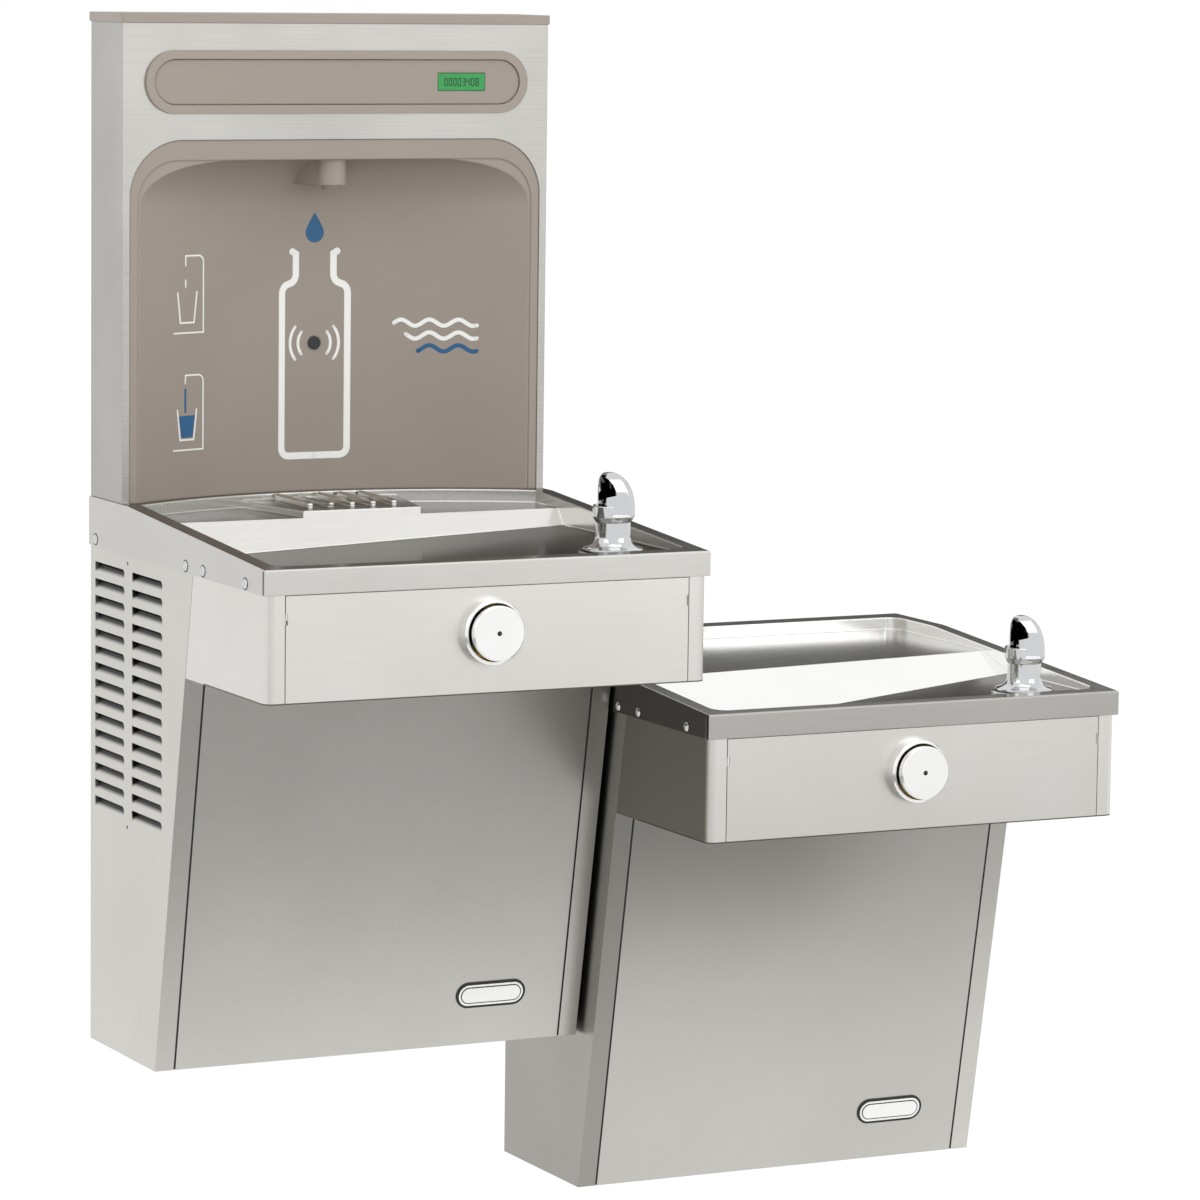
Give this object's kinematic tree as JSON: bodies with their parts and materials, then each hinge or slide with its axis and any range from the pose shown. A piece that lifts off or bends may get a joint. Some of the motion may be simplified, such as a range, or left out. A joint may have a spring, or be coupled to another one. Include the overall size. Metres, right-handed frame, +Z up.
{
  "type": "bottle filling station",
  "caption": "Wall-hung drinking fountain at two levels in brushed stainless steel, with a bottle filler over the upper basin, chrome bubblers and push buttons.",
  "frame": {"origin": "centre of the upper unit's four hanger bolts, on the wall", "axes": "+X along the wall to the right as seen from the front, +Y into the wall, +Z up"},
  "size_m": [0.9278, 0.47, 1.185],
  "materials": {
    "brushed_stainless": "brushed",
    "taupe_plastic": "satin",
    "display_glass": "clear front over a green field",
    "sensor_glass": "dark",
    "galvanised_steel": "dull zinc",
    "polished_chrome": "polished",
    "stainless_plate": "satin",
    "spring_steel": "drawn wire",
    "yellow_brass": "machined",
    "black_plastic": "matt",
    "circuit_board": "solder mask",
    "black_enamel": "gloss",
    "black_rubber": "matt",
    "aluminium_fins": "plain",
    "white_plastic": "satin",
    "clear_tube": "translucent",
    "bare_copper": "drawn copper"
  },
  "bodies": {
    "housing": {"filler_wrapper": "brushed_stainless", "filler_cap": "taupe_plastic", "alcove_liner": "taupe_plastic", "display_bezel": "taupe_plastic", "display_panel": "taupe_plastic", "counter_window": "display_glass", "sensor_lens": "sensor_glass", "filler_nozzle": "taupe_plastic", "filler_back_plate": "galvanised_steel", "solenoid_body": "black_plastic", "solenoid_spring": "spring_steel", "control_board": "circuit_board", "upper_basin": "brushed_stainless", "upper_bubbler": "polished_chrome", "upper_strainer": "stainless_plate", "upper_drain": "yellow_brass", "upper_apron": "brushed_stainless", "upper_access_panel": "brushed_stainless", "upper_left_panel": "brushed_stainless", "upper_right_panel": "brushed_stainless", "upper_front_panel": "brushed_stainless", "upper_frame": "galvanised_steel", "upper_hanger": "galvanised_steel", "upper_button_ring": "polished_chrome", "upper_button_spring": "spring_steel", "upper_valve": "yellow_brass", "lower_basin": "brushed_stainless", "lower_bubbler": "polished_chrome", "lower_strainer": "stainless_plate", "lower_drain": "yellow_brass", "lower_apron": "brushed_stainless", "lower_access_panel": "brushed_stainless", "lower_left_panel": "brushed_stainless", "lower_right_panel": "brushed_stainless", "lower_front_panel": "brushed_stainless", "lower_frame": "galvanised_steel", "lower_hanger": "galvanised_steel", "lower_button_ring": "polished_chrome", "lower_button_spring": "spring_steel", "lower_valve": "yellow_brass", "skirt_screws": "polished_chrome", "bubbler_nuts": "yellow_brass", "base_shelf": "galvanised_steel", "compressor": "black_enamel", "compressor_grommets": "black_rubber", "condenser": "aluminium_fins", "fan_motor": "black_enamel", "chiller_tank": "white_plastic", "thermostat_body": "white_plastic", "filter_head": "white_plastic", "water_lines": "clear_tube", "refrigerant_lines": "bare_copper", "water_inlet": "yellow_brass", "power_inlet": "black_plastic"},
    "upper_button_body": {"upper_button": "polished_chrome"},
    "lower_button_body": {"lower_button": "polished_chrome"},
    "solenoid_plunger_body": {"solenoid_plunger": "spring_steel"},
    "fan_blades_body": {"fan_blades": "black_plastic"},
    "filter_cartridge_body": {"filter_cartridge": "white_plastic"},
    "thermostat_dial_body": {"thermostat_dial": "black_plastic"}
  },
  "joints": [
    {"name": "upper_button_push", "type": "slide", "parent": "housing", "child": "upper_button_body", "axis": [0, 1, 0], "range_m": [0, 0.005], "stiffness_N_per_m": 600, "springref_m": -0.006, "deforming": ["upper_button_spring"]},
    {"name": "lower_button_push", "type": "slide", "parent": "housing", "child": "lower_button_body", "axis": [0, 1, 0], "range_m": [0, 0.005], "stiffness_N_per_m": 600, "springref_m": -0.006, "deforming": ["lower_button_spring"]},
    {"name": "solenoid_lift", "type": "slide", "parent": "housing", "child": "solenoid_plunger_body", "axis": [0, 0, 1], "range_m": [0, 0.0025], "stiffness_N_per_m": 250, "springref_m": -0.004, "deforming": ["solenoid_spring"]},
    {"name": "fan_spin", "type": "hinge", "parent": "housing", "child": "fan_blades_body", "pos_m": [-0.166, -0.123, -0.135], "axis": [1, 0, 0], "continuous": true},
    {"name": "filter_turn", "type": "hinge", "parent": "housing", "child": "filter_cartridge_body", "pos_m": [0.13, -0.062, -0.03], "axis": [0, 0, 1], "range_deg": [0, 90]},
    {"name": "thermostat_turn", "type": "hinge", "parent": "housing", "child": "thermostat_dial_body", "pos_m": [0.208, -0.031, -0.14], "axis": [0, 1, 0], "range_deg": [0, 270]}
  ]
}
